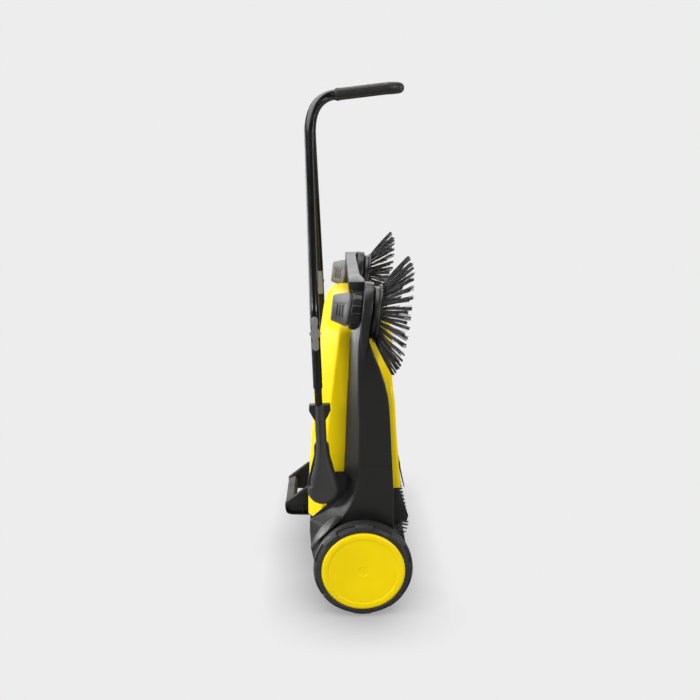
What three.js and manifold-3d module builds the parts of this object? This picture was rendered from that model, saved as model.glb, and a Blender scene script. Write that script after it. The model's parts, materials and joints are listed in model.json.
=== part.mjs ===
// Walk-behind sweeper with two side brushes, parked upright on its two wheels.
// Millimetres. +X is the side that faces the ground in use, +Y is the machine's left, +Z is its front.
// The origin is on the floor, midway between the wheels and under their axle.
// Everything that comes in pairs is drawn once for the left side and mirrored for the right.
import * as THREE from "three";
import { mergeVertices } from "three/addons/utils/BufferGeometryUtils.js";
import Module from "manifold-3d";

const wasm = await Module();
wasm.setup();

// ---- driving dimensions ----
const GAP = 0.3; // clearance between pieces that touch
const WALL = 3.5; // moulded wall thickness
const deg = THREE.MathUtils.degToRad;

const WHEEL = { radius: 123.5, inner: 352, outer: 398, rimRadius: 104, capRadius: 104.5 };
const AXLE = { radius: 8, x: 0, z: WHEEL.radius };
const ROLLER = { x: 47.7, z: 194.5, radius: 75, coreRadius: 26, halfLength: 278, shaftRadius: 9 };
const GEAR = { module: 3.8, wheelTeeth: 32, pinionTeeth: 13, pressure: deg(25), y0: 322, y1: 333 };
const FRAME = { inner: 291, outer: 345 };
const PLATE = { inner: 288.2, outer: 290.7 }; // flat plate that closes each side frame
const HOUSING_HALF = 288;
const BEARING = { inner: 9.4, outer: 16.6 };
const DRUM_END = 314; // inner end of the belt drum on the wheel gear
const HANDLE = { x: -99, z: 328, lean: deg(1.98), y: 360, tubeRadius: 11, lowerRadius: 9, bore: 9.5 };
const BRUSH = { x: 5, y: 290, z: 756, tilt: deg(97.5), discRadius: 70, tipRadius: 145 };
const ARM_RADIUS = 72;
const ARM_BACK = -10; // along the brush axis
const CARRIER = { radius: 12, bore: 8.5 };
const COLLAR_RADIUS = 48.5; // room for the adjust collar's flutes
const FAR = 300; // beyond the machine's half width, for tools that cut right across

// ---- materials ----
const surface = (color, roughness, metalness) =>
  new THREE.MeshStandardMaterial({ color, roughness, metalness });
const plastic = (color, roughness = 0.55) => surface(color, roughness, 0);
const metal = (color, roughness = 0.3) => surface(color, roughness, 0.85);
const YELLOW = plastic(0xf2cf00, 0.4);
const BLACK = plastic(0x262625, 0.6);
const GREY = plastic(0x6d6d6d, 0.55);
const RUBBER = plastic(0x303030, 0.85);
const TUBE_PAINT = plastic(0x0c0c0c, 0.25);
const BRISTLE = plastic(0x161616, 0.7);
const STEEL = metal(0x9a9c9e);

// ---- solid tools ----
function solidOf(geometry) {
  const bare = geometry.clone();
  bare.deleteAttribute("normal");
  bare.deleteAttribute("uv");
  const merged = mergeVertices(bare, 1e-3);
  const triVerts = new Uint32Array(merged.index.array);
  return new wasm.Manifold(
    new wasm.Mesh({ numProp: 3, vertProperties: merged.attributes.position.array, triVerts }),
  );
}

function geometryOf(solid) {
  const mesh = solid.getMesh();
  const geometry = new THREE.BufferGeometry();
  geometry.setAttribute("position", new THREE.BufferAttribute(mesh.vertProperties, 3));
  geometry.setIndex(new THREE.BufferAttribute(mesh.triVerts, 1));
  geometry.computeVertexNormals();
  return geometry;
}

const join = (...parts) => geometryOf(parts.map(solidOf).reduce((a, b) => a.add(b)));
const cut = (base, ...tools) =>
  geometryOf(tools.map(solidOf).reduce((a, b) => a.subtract(b), solidOf(base)));
const meet = (a, b) => geometryOf(solidOf(a).intersect(solidOf(b)));

// ---- shape tools ----
const vectors = (points) => points.map(([u, v]) => new THREE.Vector2(u, v));

// Points on an arc about (u, v), from angle a0 to angle a1 in degrees.
function arc(u, v, radius, a0, a1, steps = 12) {
  return Array.from({ length: steps + 1 }, (_, i) => {
    const a = deg(a0 + ((a1 - a0) * i) / steps);
    return [u + radius * Math.cos(a), v + radius * Math.sin(a)];
  });
}

// A smooth line through a few points.
function smooth(points, steps = 12) {
  return new THREE.SplineCurve(vectors(points)).getPoints(steps).map((p) => [p.x, p.y]);
}

// The outline moved inwards by the same distance all round.
function inset(points, distance) {
  const turn = Math.sign(THREE.ShapeUtils.area(vectors(points)));
  return points.map(([u, v], i) => {
    const before = points[(i + points.length - 1) % points.length];
    const after = points[(i + 1) % points.length];
    const n0 = new THREE.Vector2(before[1] - v, u - before[0]).normalize();
    const n1 = new THREE.Vector2(v - after[1], after[0] - u).normalize();
    const mid = n0.clone().add(n1).normalize();
    const reach = (turn * distance) / Math.max(mid.dot(n0), 0.4);
    return [u + mid.x * reach, v + mid.y * reach];
  });
}

// A strip of even thickness along an open line.
function strip(line, thickness) {
  const sides = [1, -1].map((side) =>
    line.map(([u, v], i) => {
      const a = line[Math.max(i - 1, 0)];
      const b = line[Math.min(i + 1, line.length - 1)];
      const normal = new THREE.Vector2(a[1] - b[1], b[0] - a[0]).normalize();
      return [u + (normal.x * side * thickness) / 2, v + (normal.y * side * thickness) / 2];
    }),
  );
  return [...sides[0], ...sides[1].reverse()];
}

function extruded(outline, depth) {
  return new THREE.ExtrudeGeometry(new THREE.Shape(vectors(outline)), { depth, bevelEnabled: false });
}

// A side-view outline in X and Z, from y0 to y1.
const plate = (outline, y0, y1) => extruded(outline, y1 - y0).rotateX(Math.PI / 2).translate(0, y1, 0);

// A plan outline in X and Y, from z0 to z1.
const prism = (outline, z0, z1) => extruded(outline, z1 - z0).translate(0, 0, z0);

// A front-view outline in Y and Z, from x0 to x1.
const plateX = (outline, x0, x1) =>
  extruded(outline, x1 - x0).rotateX(Math.PI / 2).rotateZ(Math.PI / 2).translate(x0, 0, 0);

const box = (x0, x1, y0, y1, z0, z1) =>
  new THREE.BoxGeometry(x1 - x0, y1 - y0, z1 - z0).translate((x0 + x1) / 2, (y0 + y1) / 2, (z0 + z1) / 2);

// A round bar along Y.
const rodY = (radius, x, z, y0, y1, sides = 16) =>
  new THREE.CylinderGeometry(radius, radius, y1 - y0, sides).translate(x, (y0 + y1) / 2, z);

// A round bar along Z.
const rodZ = (radius, x, y, z0, z1, sides = 16) =>
  new THREE.CylinderGeometry(radius, radius, z1 - z0, sides)
    .rotateX(Math.PI / 2)
    .translate(x, y, (z0 + z1) / 2);

// A turned solid about Y. Its profile is [radius, y] and either closes on itself or ends on the axis.
function turned(profile, sides = 24) {
  const line = [...profile];
  const onAxis = profile[0][0] === 0 && profile[profile.length - 1][0] === 0;
  if (THREE.ShapeUtils.area(vectors(profile)) < 0) line.reverse();
  if (!onAxis) line.push(line[0]);
  return new THREE.LatheGeometry(vectors(line), sides);
}

// The same, about Z.
const turnedZ = (profile, sides) => turned(profile, sides).rotateX(Math.PI / 2);

// A body through level rings, each { z, points: [[x, y], ...] } anticlockwise seen from above.
function loft(rings) {
  const count = rings[0].points.length;
  const positions = rings.flatMap(({ z, points }) => points.flatMap(([x, y]) => [x, y, z]));
  const index = [];
  for (let level = 0; level < rings.length - 1; level++) {
    for (let i = 0; i < count; i++) {
      const a = level * count + i;
      const b = level * count + ((i + 1) % count);
      index.push(a, b, b + count, a, b + count, a + count);
    }
  }
  const top = (rings.length - 1) * count;
  const capOf = (ring) => THREE.ShapeUtils.triangulateShape(vectors(ring.points), []);
  capOf(rings[0]).forEach(([a, b, c]) => index.push(a, c, b));
  capOf(rings.at(-1)).forEach(([a, b, c]) => index.push(top + a, top + b, top + c));
  const geometry = new THREE.BufferGeometry();
  geometry.setAttribute("position", new THREE.Float32BufferAttribute(positions, 3));
  geometry.setIndex(index);
  return geometry;
}

// An involute gear outline about (0, 0), with a little backlash. A tooth points along +X.
function gearOutline(teeth, turn = 0) {
  const { module: m, pressure } = GEAR;
  const pitch = (m * teeth) / 2;
  const base = pitch * Math.cos(pressure);
  const root = pitch - 1.15 * m;
  const tip = pitch + 0.85 * m;
  const backlash = 0.35; // along the pitch circle
  const step = 0.01; // keeps the flank's foot off the root circle
  const involute = (angle) => Math.tan(angle) - angle;
  const halfAtPitch = Math.PI / (2 * teeth) - backlash / (2 * pitch);
  const halfAt = (r) => halfAtPitch + involute(pressure) - involute(Math.acos(Math.min(1, base / r)));
  const start = Math.max(root, base) + step;
  const flank = [0, 1].map((t) => start + (tip - start) * t);
  const outline = [];
  for (let tooth = 0; tooth < teeth; tooth++) {
    const centre = turn + (tooth * 2 * Math.PI) / teeth;
    const at = (r, a) => outline.push([r * Math.cos(centre + a), r * Math.sin(centre + a)]);
    at(root, -halfAt(start) - step);
    flank.forEach((r) => at(r, -halfAt(r)));
    [...flank].reverse().forEach((r) => at(r, halfAt(r)));
    at(root, halfAt(start) + step);
  }
  return outline;
}

// ---- scene graph ----
const root = new THREE.Group();

function add(group, name, geometry, material) {
  const mesh = new THREE.Mesh(geometry, material);
  mesh.name = name;
  group.add(mesh);
  return mesh;
}

// ---- side frames: hollow moulded panels that carry the wheels, the roller and the side brushes ----
// Each station is [z, ground-side edge, upper crest, inner edge of the sloping upper face], all in X.
const FRAME_STATIONS = [
  [50, 62, -72, -92],
  [80, 78, -98, -121],
  [125, 82, -108, -130],
  [183, 81, -104, -134],
  [214, 79, -84, -133],
  [240, 78, -56, -104],
  [276, 77.5, -34, -62],
  [305, 76.5, -20.7, -46],
  [336, 75, -12.5, -38],
  [338, 75, -12, -46.7],
  [400, 71, -9.1, -43.5],
  [480, 66.5, -8.6, -40.5],
  [551, 62, -11.5, -38],
  [596, 50, -12.4, -34.5],
  [642, 31.6, -12.6, -33],
  [690, 12, -11.5, -31],
  [742, 14, -4, -22],
];
const frameRing = ([z, ground, crest, inner]) => ({
  z,
  points: [
    [inner, FRAME.inner],
    [ground, FRAME.inner],
    [ground, FRAME.outer],
    [crest, FRAME.outer],
    [inner, FRAME.inner + 4],
  ],
});
const frameHollow = ([z, ground, crest, inner]) => ({
  z,
  points: [
    [inner + 6, FRAME.inner - 1],
    [ground - WALL, FRAME.inner - 1],
    [ground - WALL, FRAME.outer - WALL],
    [crest + 2, FRAME.outer - WALL],
    [inner + 6, 293],
  ],
});

// Moves a solid drawn round the Z axis onto the left side brush's axis.
function onBrushAxis(geometry) {
  return geometry.rotateY(BRUSH.tilt).translate(BRUSH.x, BRUSH.y, BRUSH.z);
}

// The floor of the recess behind the pivot bracket, in side view.
const RECESS_FLOOR = [
  ...smooth([[-104, 334], [-104, 300], [-99, 275], [-88, 252]], 6),
  [-97, 232],
  [-104, 212],
  [-60, 212],
  [-20, 300],
  [-20, 334],
];

function sideFrame() {
  const shell = loft(FRAME_STATIONS.map(frameRing));
  const raisedFoot = ([z, ...rest], i) => [i === 0 ? z + WALL : z, ...rest];
  const hollow = loft(FRAME_STATIONS.map(raisedFoot).map(frameHollow));
  const fender = strip(arc(AXLE.x, AXLE.z, WHEEL.radius + 7, 96, 176, 9), 4);
  const pivotBoss = rodY(16, HANDLE.x, HANDLE.z, FRAME.inner, FRAME.outer + 2);
  const arm = onBrushAxis(rodZ(ARM_RADIUS, 0, 0, ARM_BACK, 13, 32));
  const armCavity = onBrushAxis(rodZ(ARM_RADIUS - 5, 0, 0, ARM_BACK + 4, 14, 28));
  const beltSlot = box(-4, 14, FRAME.inner + 3, FRAME.outer - 5, 672, 712);
  const roomForArm = box(-60, 40, 280, FAR, 700, 760);
  return cut(
    join(
      cut(shell, hollow, roomForArm),
      plate(RECESS_FLOOR, FRAME.inner, FRAME.inner + 5),
      pivotBoss,
      plate(fender, FRAME.outer - 3, 374),
      arm,
    ),
    armCavity,
    beltSlot,
    onBrushAxis(rodZ(CARRIER.radius + 0.5, 0, 0, -20, 0)),
    onBrushAxis(rodZ(COLLAR_RADIUS + 0.5, 0, 0, -60, ARM_BACK, 24)),
    rodY(23, AXLE.x, AXLE.z, 335, 350, 20),
    rodY(AXLE.radius + GAP, HANDLE.x, HANDLE.z, 280, 350),
  );
}

// The inner plate closes the frame and holds the axle boss and the roller bearing.
function innerPlate() {
  const stations = FRAME_STATIONS.filter(([z]) => z < 660);
  const groundEdge = stations.map(([z, ground]) => [ground - 6, z + 4]);
  const innerEdge = stations.map(([z, , , inner]) => [inner + 4, z + 4]).reverse();
  const axleBoss = rodY(17, AXLE.x, AXLE.z, PLATE.inner, DRUM_END - 1);
  return cut(
    join(plate([...groundEdge, ...innerEdge], PLATE.inner, PLATE.outer), axleBoss),
    rodY(AXLE.radius + GAP, AXLE.x, AXLE.z, 280, 320),
    rodY(BEARING.outer + 0.4, ROLLER.x, ROLLER.z, 280, FAR),
  );
}

// ---- belt: wheel to side brush, with a quarter twist and one guide pulley ----
const BELT_RADIUS = 2.5;
const DRIVE_PULLEY = 22;
const BRUSH_PULLEY = 20;
const GUIDE = { x: 5, y: 300.5, z: 688, radius: 5, length: 16 };

function belt() {
  const low = DRIVE_PULLEY + BELT_RADIUS + 2;
  const high = BRUSH_PULLEY + BELT_RADIUS + 2.4;
  const beltX = BRUSH.x + 5;
  const beltY = 318;
  const round = arc(AXLE.x, AXLE.z, low, 0, -180, 8).map(([x, z]) => new THREE.Vector3(x, beltY, z));
  const over = arc(BRUSH.y, BRUSH.z, high, 212, 0, 9).map(
    ([y, z]) => new THREE.Vector3(beltX + (z - BRUSH.z) * 0.13, y, z),
  );
  const points = [
    ...round,
    new THREE.Vector3(-22, beltY, 240),
    new THREE.Vector3(-12, beltY - 1, 400),
    new THREE.Vector3(3, GUIDE.y + 9.6, GUIDE.z - 18),
    new THREE.Vector3(6, GUIDE.y + 9, GUIDE.z + 2),
    ...over,
    new THREE.Vector3(9, beltY, 690),
    new THREE.Vector3(18, beltY, 420),
    new THREE.Vector3(23, beltY, 240),
  ];
  const path = new THREE.CatmullRomCurve3(points, true, "centripetal");
  return new THREE.TubeGeometry(path, 66, BELT_RADIUS, 4, true);
}

// The guide pulley turns the belt towards the brush spindle.
function beltGuide() {
  return new THREE.CylinderGeometry(GUIDE.radius, GUIDE.radius, GUIDE.length, 20)
    .rotateZ(Math.PI / 2)
    .translate(GUIDE.x, GUIDE.y, GUIDE.z);
}

// ---- wheels ----
function tyre() {
  const { radius, inner, outer, rimRadius } = WHEEL;
  const profile = [
    [rimRadius, inner],
    [radius - 8, inner],
    [radius, inner + 8],
    [radius, outer - 10],
    [radius - 6, outer],
    [rimRadius, outer],
  ];
  const body = turned(profile, 44);
  const notchCount = 8;
  const notchHalf = 28;
  const notches = Array.from({ length: notchCount }, (_, i) =>
    box(radius - 5, radius + 5, outer - 9, outer + 2, -notchHalf, notchHalf)
      .rotateY((i * 2 * Math.PI) / notchCount)
      .translate(AXLE.x, 0, 0),
  );
  return cut(body, ...notches);
}

// Black rim, web and boss. The belt drum and the gear sit on the boss, inside the side frame.
function wheelHub() {
  const { inner, outer, rimRadius } = WHEEL;
  return turned([
    [AXLE.radius + 0.5, 334],
    [19, 334],
    [20, inner + 6],
    [90, inner + 2],
    [rimRadius - GAP, inner + 2],
    [rimRadius - GAP, outer - 8],
    [98, outer - 8],
    [96, inner + 10],
    [20, inner + 14],
    [20, 386],
    [AXLE.radius + 0.5, 386],
  ], 24);
}

function hubCap() {
  const { outer, capRadius } = WHEEL;
  const face = outer + 2;
  return turned([
    [0, face - 6],
    [98, face - 6],
    [98, outer - 5],
    [capRadius - 1, outer + GAP - 5.6],
    [capRadius - 1, outer - 1],
    [capRadius - 4, face],
    [89, face],
    [86, face - 2],
    [0, face - 2],
  ], 32);
}

function wheelGear() {
  const toothed = plate(gearOutline(GEAR.wheelTeeth), GEAR.y0, GEAR.y1);
  const drum = rodY(DRIVE_PULLEY, 0, 0, DRUM_END, GEAR.y0 + 1, 20);
  return cut(join(toothed, drum), rodY(AXLE.radius + 0.5, 0, 0, 310, 340));
}

// ---- main roller ----
function rollerCore() {
  const { coreRadius, halfLength, shaftRadius } = ROLLER;
  const end = GEAR.y1 + 3;
  return turned([
    [0, -end],
    [shaftRadius, -end],
    [shaftRadius, -halfLength - 4],
    [coreRadius, -halfLength - 4],
    [coreRadius, halfLength + 4],
    [shaftRadius, halfLength + 4],
    [shaftRadius, end],
    [0, end],
  ], 24);
}

// Six rows of bristles that wind round the core.
function rollerBristles() {
  const rows = 6;
  const half = deg(4);
  const foot = 30;
  const wind = deg(30);
  const outline = [];
  for (let row = 0; row < rows; row++) {
    const centre = (row * 2 * Math.PI) / rows;
    const at = (r, a) => outline.push([r * Math.cos(centre + a), r * Math.sin(centre + a)]);
    at(foot, -0.2);
    at(ROLLER.radius, -half);
    at(ROLLER.radius, half);
    at(foot, 0.2);
  }
  const { halfLength } = ROLLER;
  const shape = new THREE.Shape(vectors(outline));
  const settings = { depth: 2 * halfLength, steps: 10, bevelEnabled: false };
  const rowsSolid = new THREE.ExtrudeGeometry(shape, settings)
    .rotateX(Math.PI / 2)
    .translate(0, halfLength, 0);
  const position = rowsSolid.attributes.position;
  for (let i = 0; i < position.count; i++) {
    const point = new THREE.Vector3().fromBufferAttribute(position, i);
    point.applyAxisAngle(new THREE.Vector3(0, 1, 0), (point.y / halfLength) * wind);
    position.setXYZ(i, point.x, point.y, point.z);
  }
  return cut(rowsSolid, rodY(ROLLER.coreRadius + GAP, 0, 0, -halfLength - 5, halfLength + 5, 24));
}

// The pinion is turned so that one of its gaps faces the wheel gear's tooth on the line of centres.
function rollerPinion() {
  const line = Math.atan2(ROLLER.z - AXLE.z, ROLLER.x - AXLE.x);
  const wheelPhase = (line / (2 * Math.PI)) * GEAR.wheelTeeth;
  const offset = (wheelPhase - Math.round(wheelPhase)) * ((2 * Math.PI) / GEAR.wheelTeeth);
  const facing = line + Math.PI;
  const halfTooth = Math.PI / GEAR.pinionTeeth;
  const turn = facing + halfTooth + offset * (GEAR.wheelTeeth / GEAR.pinionTeeth);
  return cut(
    plate(gearOutline(GEAR.pinionTeeth, turn), GEAR.y0, GEAR.y1),
    rodY(ROLLER.shaftRadius + GAP, 0, 0, 310, 340),
  );
}

function rollerBearing() {
  const { inner, outer } = BEARING;
  return turned([[inner, 286.5], [outer, 286.5], [outer, 296], [inner, 296]], 16);
}

// ---- roller housing: a box section that wraps the rear and the top of the roller ----
function rollerHousing() {
  const wrapRadius = ROLLER.radius + 8;
  const outline = [
    [-134, 201],
    [-134, 183],
    [-130, 125],
    [-121, 79],
    [-100, 50],
    [-60, 42],
    [60, 58],
    [104, 96],
    ...arc(ROLLER.x, ROLLER.z, wrapRadius, -45, -176, 14),
    [-36, 201],
  ];
  const skin = cut(plate(outline, -HOUSING_HALF, HOUSING_HALF), plate(inset(outline, WALL), -FAR, FAR));
  const hood = plate(
    strip(arc(ROLLER.x, ROLLER.z, wrapRadius + 1.5, -168, -236, 8), 3),
    -HOUSING_HALF,
    HOUSING_HALF,
  );
  const axleBay = (y0, y1) => rodY(19, AXLE.x, AXLE.z, y0, y1);
  return cut(join(skin, hood), axleBay(270, FAR), axleBay(-FAR, -270));
}

// The skid that the machine stands on, with its wheels, when it is parked upright.
function parkingFoot() {
  const outline = [[-100, 0], [14, 0], [20, 8], [20, 52], [-60, 41.4], [-98, 49], [-106, 40], [-104, 6]];
  const half = 50;
  return plate(outline, -half, half);
}

// ---- carry handle at the rear of the housing ----
function carryHandle() {
  const back = -210;
  const face = -134.3;
  const outer = 95;
  const inner = 83;
  const cheek = [
    [face, 128],
    ...smooth([[-194, 130], [-206, 136], [back, 150]], 5),
    [back, 165],
    [-150, 212],
    [-142, 212],
    [-142, 203],
    [face, 200],
  ];
  const section = [[-205, 131], [-186, 131], [-181, 140], [-181, 160], [-188, 170], [-206, 164], [back, 150]];
  const bar = plate(section, -inner - 1, inner + 1);
  return join(plate(cheek, inner, outer), plate(cheek, -outer, -inner), bar);
}

// ---- hopper: a tub and a cover, open towards the roller ----
// Each station is [z, top of the crown, crease, half width at the crease, half width of the crown].
const COVER_STATIONS = [
  [204, -139, -106, 284, 240],
  [260, -138.5, -103, 284, 238],
  [319, -135.5, -98, 284, 235],
  [369, -132.5, -94, 284, 232],
  [428, -127, -88, 284, 230],
  [480, -122.5, -83, 284, 230],
  [537, -120.6, -77, 284, 230],
  [607, -110, -68.5, 284, 228],
  [679, -99, -59, 284, 225],
  [706, -91, -57, 284, 220],
  [716, -88, -54, 236, 206],
  [728, -82, -50, 234, 200],
  [740, -70, -44, 226, 192],
];
const COVER_RIM = -22;
const coverRing = (skin) => ([z, crown, crease, wide, narrow], i, all) => {
  const level = i === 0 ? z + skin : i === all.length - 1 ? z - skin : z;
  const rim = skin ? COVER_RIM + 5 : COVER_RIM;
  return {
    z: level,
    points: [
      [rim, -wide + skin],
      [rim, wide - skin],
      [crease + skin * 0.4, wide - skin],
      [crown + skin, narrow],
      [crown + skin, -narrow],
      [crease + skin * 0.4, -wide + skin],
    ],
  };
};

// The hopper's rear stays clear of the roller.
const rollerClearance = (extra) => rodY(ROLLER.radius + 14 + extra, ROLLER.x, ROLLER.z, -FAR, FAR, 40);

// The cover's lower edge is cut out over the carry handle, so that the hopper lifts past it.
const handleNotch = (extra) => box(-150, -30, -100 - extra, 100 + extra, 195, 213.5 + extra);

function hopperCover() {
  const outside = cut(loft(COVER_STATIONS.map(coverRing(0))), rollerClearance(0), handleNotch(0));
  const inside = cut(loft(COVER_STATIONS.map(coverRing(WALL))), rollerClearance(WALL), handleNotch(WALL));
  return cut(outside, inside);
}

// Each station is [z, ground-side face, half width at the rim, half width at the ground side].
const TUB_STATIONS = [
  [273, 103, 264, 262],
  [320, 99, 264, 262],
  [416, 90, 264, 262],
  [523, 83, 264, 262],
  [562, 77, 264, 254],
  [604, 84, 264, 140],
  [640, 84, 264, 138],
  [670, 81, 262, 138],
  [706, 76, 215, 138],
  [730, 62, 170, 138],
  [742, 55, 140, 136],
  [748, 46, 138, 134],
];
const TUB_RIM = COVER_RIM + GAP + 0.2;
const tubRing = (skin) => ([z, ground, wide, narrow], i, all) => {
  const level = i === 0 ? z - skin : i === all.length - 1 ? z - skin : z;
  const rim = TUB_RIM - (skin ? 5 : 0);
  return {
    z: level,
    points: [
      [rim, -wide + skin],
      [ground - skin, -narrow + skin],
      [ground - skin, narrow - skin],
      [rim, wide - skin],
    ],
  };
};

function hopperTub() {
  const outside = cut(loft(TUB_STATIONS.map(tubRing(0))), rollerClearance(0));
  const inside = cut(loft(TUB_STATIONS.map(tubRing(WALL))), rollerClearance(WALL));
  const mouth = plate([[34, 268], [99.5, 268], [99.5, 292], [34, 292]], -258, 258);
  return cut(outside, inside, mouth);
}

// A rubber lip that seals the hopper's mouth against the ground.
function hopperLip() {
  const line = smooth([[97.8, 352], [99.8, 336], [103.6, 310], [111, 284]], 6);
  return plate(strip(line, 2), -255, 255);
}

// Rubber blade behind the roller, and the skirts beside it.
const dustFlap = () => plate(strip([[105.5, 98], [113, 99], [121, 104]], 2), -270, 270);
const sideSkirt = () => plate([[81.5, 296], [94, 296], [120, 218], [116, 204], [81.5, 204]], 284, 286.5);

// ---- front bow that ties the two brush arms together, open underneath ----
function frontBow() {
  const bothSides = (half) => [...half, ...half.slice().reverse().map(([u, v]) => [u, -v])];
  const plan = bothSides([[-5, 60], [-5, 190], [4, 262], [4, 288], [-33, 288], [-33, 60]]);
  const top = [[-289, 827], [-240, 831], [240, 831], [289, 827]];
  const elevation = [...top, [289, 790], [226, 790], [205, 800], [-205, 800], [-226, 790], [-289, 790]];
  const hollow = box(-29.5, -8.5, -196, 196, 795, 827.5);
  const arm = () => onBrushAxis(rodZ(ARM_RADIUS + 0.8, 0, 0, ARM_BACK - 0.5, 40, 32));
  const collar = () => onBrushAxis(rodZ(COLLAR_RADIUS, 0, 0, -60, ARM_BACK + 1, 24));
  const toRight = (solid) => solid.translate(0, -2 * BRUSH.y, 0);
  const bow = meet(prism(plan, 780, 850), plateX(elevation, -60, 60));
  return cut(bow, hollow, arm(), collar(), toRight(arm()), toRight(collar()));
}

// ---- handle, in a frame whose Z runs up the tubes from the fold pivot ----
const CLAMP_Z = 395;
const KINK_Z = 448;
const SLEEVE_Z = 259;
const STUD = { radius: 4, end: 370.2 };

function pivotBracket() {
  const neck = { z: 212, half: 12.5, x: 2 };
  const teardrop = [
    ...arc(0, 0, 36, 160, 380, 20),
    ...smooth([[27, 45], [17, 105], [neck.x + neck.half, neck.z - 30], [neck.x + neck.half, neck.z]], 6),
    ...smooth([[neck.x - neck.half, neck.z], [neck.x - neck.half, neck.z - 30], [-14, 105], [-26, 45]], 6),
  ];
  const collar = [[-22, 219], [-22, 203], [-10, 186], [14, 186], [26, 203], [26, 219]];
  return cut(
    join(plate(teardrop, 348, 375), plate(collar, 351, 368)),
    rodZ(HANDLE.bore, 0, HANDLE.y, 150, 230),
    rodY(AXLE.radius + 0.4, 0, 0, 340, 370),
  );
}

function tubeAlong(path, radius, steps, sides) {
  const section = new THREE.Shape().absarc(0, 0, radius, 0, 2 * Math.PI);
  const settings = { steps, curveSegments: sides, bevelEnabled: false, extrudePath: path };
  return new THREE.ExtrudeGeometry(section, settings);
}

// The loop runs up one tube, over the grip and down the other tube.
const LOOP = { topY: 158, topZ: 840, neckX: 60, neckZ: 940, endX: 204, endZ: 952, halfWidth: 31 };
const BEND = [[0, 132, 891], [14, 54, 931]]; // control points between the top of the rise and the neck

function loopSide(side) {
  const at = (x, y, z) => new THREE.Vector3(x, side * y, z);
  const { topY, topZ, neckX, neckZ, endX, endZ, halfWidth } = LOOP;
  const neck = at(neckX, halfWidth + 1, neckZ);
  const end = at(endX, halfWidth, endZ);
  const turn = 0.55 * halfWidth;
  const tip = endX + halfWidth;
  return {
    foot: new THREE.LineCurve3(at(0, HANDLE.y, SLEEVE_Z), at(0, HANDLE.y, KINK_Z)),
    rise: new THREE.LineCurve3(at(0, HANDLE.y, KINK_Z), at(0, topY, topZ)),
    bend: new THREE.CubicBezierCurve3(at(0, topY, topZ), at(...BEND[0]), at(...BEND[1]), neck),
    run: new THREE.LineCurve3(neck, end),
    corner: new THREE.CubicBezierCurve3(
      end,
      at(endX + turn, halfWidth, endZ),
      at(tip, turn, endZ),
      at(tip, 0, endZ),
    ),
  };
}

function reversed(curve) {
  const points = curve.getPoints(12).reverse();
  return new THREE.CatmullRomCurve3(points);
}

function upperTube() {
  const left = loopSide(1);
  const right = loopSide(-1);
  const path = new THREE.CurvePath();
  [left.foot, left.rise, left.bend, left.run, left.corner].forEach((curve) => path.add(curve));
  [right.corner, right.run, right.bend, right.rise, right.foot].forEach((curve) => path.add(reversed(curve)));
  const bores = [1, -1].map((side) => rodZ(HANDLE.bore, 0, side * HANDLE.y, SLEEVE_Z - 5, KINK_Z - 20));
  const knobHole = (y0, y1) => rodY(STUD.radius + GAP, 0, CLAMP_Z, y0, y1, 12);
  return cut(tubeAlong(path, HANDLE.tubeRadius, 140, 4), ...bores, knobHole(366, 380), knobHole(-380, -366));
}

const GRIP = { radius: 16, bore: 14 };

// Foam grip: a sleeve round the narrow end of the loop.
function grip() {
  const left = loopSide(1);
  const right = loopSide(-1);
  const path = new THREE.CurvePath();
  [left.run, left.corner, reversed(right.corner), reversed(right.run)].forEach((curve) => path.add(curve));
  return cut(tubeAlong(path, GRIP.radius, 40, 4), tubeAlong(longer(path), GRIP.bore, 42, 4));
}

// The same path with a little more at both ends.
function longer(path) {
  const points = path.getSpacedPoints(48);
  const extend = (a, b) => a.clone().sub(b).setLength(6).add(a);
  const before = extend(points[0], points[1]);
  const after = extend(points.at(-1), points.at(-2));
  return new THREE.CatmullRomCurve3([before, ...points, after]);
}

function wingKnob() {
  const upper = [[12, 0], [8, 13], [8, 34], [0, 38], [-8, 34], [-8, 13], [-12, 0]];
  const lower = upper.slice(1, -1).map(([x, z]) => [-x, -z]);
  const hub = rodY(9, 0, 0, 372, 379);
  const stud = rodY(STUD.radius, 0, 0, STUD.end, 377, 12);
  return join(plate([...upper, ...lower], 376, 388), hub, stud);
}

function clampSaddle() {
  const block = box(-9, 9, 343, 357, CLAMP_Z - 37, CLAMP_Z + 36);
  return cut(block, rodZ(HANDLE.tubeRadius + 1, 0, HANDLE.y, CLAMP_Z - 40, CLAMP_Z + 40));
}

// ---- side brush, in a frame whose Z runs along the spindle, towards the ground ----
function heightKnob() {
  const bore = CARRIER.radius + 0.6;
  const body = turnedZ([
    [0, -80.7],
    [29, -80.7],
    [31, -79],
    [41.5, -42],
    [40, -40.3],
    [39, -40.3],
    [39, -36.7],
    [bore, -36.7],
    [bore, -60],
    [0, -60],
  ]);
  const fingerRecess = (y0, y1) => box(-22, 22, y0, y1, -72, -48);
  return cut(body, fingerRecess(-60, -34), fingerRecess(34, 60));
}

function adjustCollar() {
  const flutes = 16;
  const radius = 45;
  const outline = [];
  for (let i = 0; i < flutes; i++) {
    const centre = (i * 2 * Math.PI) / flutes;
    const at = (r, a) => outline.push([r * Math.cos(centre + a), r * Math.sin(centre + a)]);
    at(radius, -0.1);
    at(radius + 2, -0.05);
    at(radius + 2, 0.05);
    at(radius, 0.1);
  }
  return cut(prism(outline, -36.3, ARM_BACK - GAP), rodZ(CARRIER.radius + 0.5, 0, 0, -40, 0));
}

function brushCarrier() {
  const { radius, bore } = CARRIER;
  return turnedZ([[bore, -56], [radius, -56], [radius, -6.5], [bore, -6.5]], 24);
}

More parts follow.
